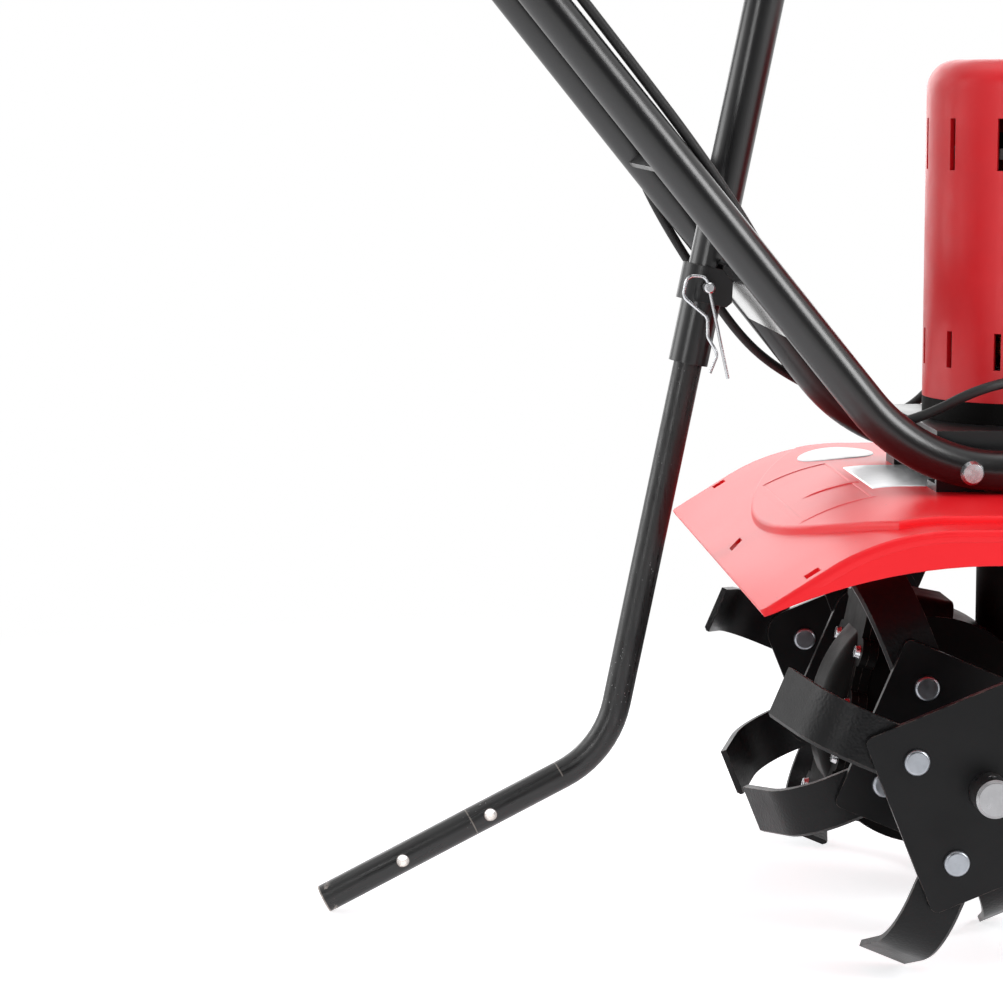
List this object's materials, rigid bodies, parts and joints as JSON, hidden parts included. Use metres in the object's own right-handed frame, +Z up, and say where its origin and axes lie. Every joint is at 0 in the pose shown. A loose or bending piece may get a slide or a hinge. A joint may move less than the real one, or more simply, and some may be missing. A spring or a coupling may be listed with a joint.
{
  "type": "mini tiller",
  "caption": "Electric mini tiller with bent tine blades under a red shield, two handle tubes with switch levers and an adjustable depth stake.",
  "frame": {"origin": "on the ground under the middle of the whole machine", "axes": "+X forward in tilling direction, +Y to the machine's left, +Z up"},
  "size_m": [0.803, 0.5478, 0.8694],
  "materials": {
    "black_coat": "satin black powder coat",
    "stake_paint": "satin black paint on bare bar",
    "zinc": "bright zinc plate",
    "red_plastic": "glossy moulded red",
    "black_casting": "black painted casting",
    "tine_paint": "black paint on forged steel",
    "steel": "ground steel",
    "bronze": "machined bronze and copper",
    "core_steel": "laminated steel",
    "black_plastic": "matte moulded black",
    "motor_red": "glossy moulded red",
    "rubber": "matte black rubber",
    "button_red": "matte moulded red"
  },
  "bodies": {
    "frame": {"brush_plate": "black_plastic", "cable_glands": "black_plastic", "cover_screws": "zinc", "cross_bracket": "black_coat", "depth_stake": "stake_paint", "field_coils": "bronze", "gear_case": "black_casting", "gear_cover": "black_casting", "grip_left": "rubber", "grip_right": "rubber", "guide_cap": "black_plastic", "guide_tube": "black_coat", "handle_bolts": "zinc", "handle_bracket": "black_coat", "handle_crossbar": "black_coat", "handle_nuts": "zinc", "hitch_pin": "zinc", "lead_clips": "black_plastic", "lead_left": "rubber", "lead_right": "rubber", "lever_pins": "zinc", "lower_handle_left": "black_coat", "lower_handle_right": "black_coat", "mains_inlet": "black_plastic", "motor_bearings": "steel", "motor_bell": "black_casting", "motor_cover": "motor_red", "motor_screws": "zinc", "r_clip": "zinc", "shaft_bearings": "steel", "shaft_seals": "rubber", "shield": "red_plastic", "shield_screws": "zinc", "stake_strap": "black_coat", "stator_core": "core_steel", "switch_box_left": "black_plastic", "switch_box_right": "black_plastic", "upper_brace": "black_coat", "upper_handle_left": "black_coat", "upper_handle_right": "black_coat"},
    "tines": {"tine_blades_inner_left": "tine_paint", "tine_blades_inner_right": "tine_paint", "tine_blades_outer_left": "tine_paint", "tine_blades_outer_right": "tine_paint", "tine_bolts": "zinc", "tine_hub_inner_left": "tine_paint", "tine_hub_inner_right": "tine_paint", "tine_hub_outer_left": "tine_paint", "tine_hub_outer_right": "tine_paint", "tine_nuts": "zinc", "tine_shaft": "steel", "worm_wheel": "bronze", "hub_pins": "zinc"},
    "armature": {"armature_shaft": "steel", "rotor_core": "core_steel", "commutator": "bronze", "fan": "black_plastic"},
    "lever_right": {"lever_right": "black_plastic"},
    "lever_left": {"lever_left": "black_plastic"},
    "lock_button": {"lock_button": "button_red"}
  },
  "joints": [
    {"name": "tine_spin", "type": "hinge", "parent": "frame", "child": "tines", "pos_m": [0.27953, 0, 0.10575], "axis": [0, 1, 0], "continuous": true},
    {"name": "armature_spin", "type": "hinge", "parent": "frame", "child": "armature", "pos_m": [0.33953, 0, 0.3], "axis": [0, 0, 1], "continuous": true},
    {"name": "lever_right_squeeze", "type": "hinge", "parent": "frame", "child": "lever_right", "pos_m": [-0.27803, -0.23526, 0.78252], "axis": [-0.1938, 0.981, 0], "range_deg": [0, 10], "stiffness_Nm_per_rad": 1.2, "springref_deg": -8.59},
    {"name": "lever_left_squeeze", "type": "hinge", "parent": "frame", "child": "lever_left", "pos_m": [-0.27803, 0.23526, 0.78252], "axis": [0.1938, 0.981, 0], "range_deg": [0, 10], "stiffness_Nm_per_rad": 1.2, "springref_deg": -8.59},
    {"name": "lock_press", "type": "slide", "parent": "frame", "child": "lock_button", "axis": [0.1938, -0.981, 0], "range_m": [0, 0.004], "stiffness_N_per_m": 400, "springref_m": -0.003}
  ],
  "couplings": [
    {"joint": "armature_spin", "follows": "tine_spin", "ratio": 24}
  ]
}
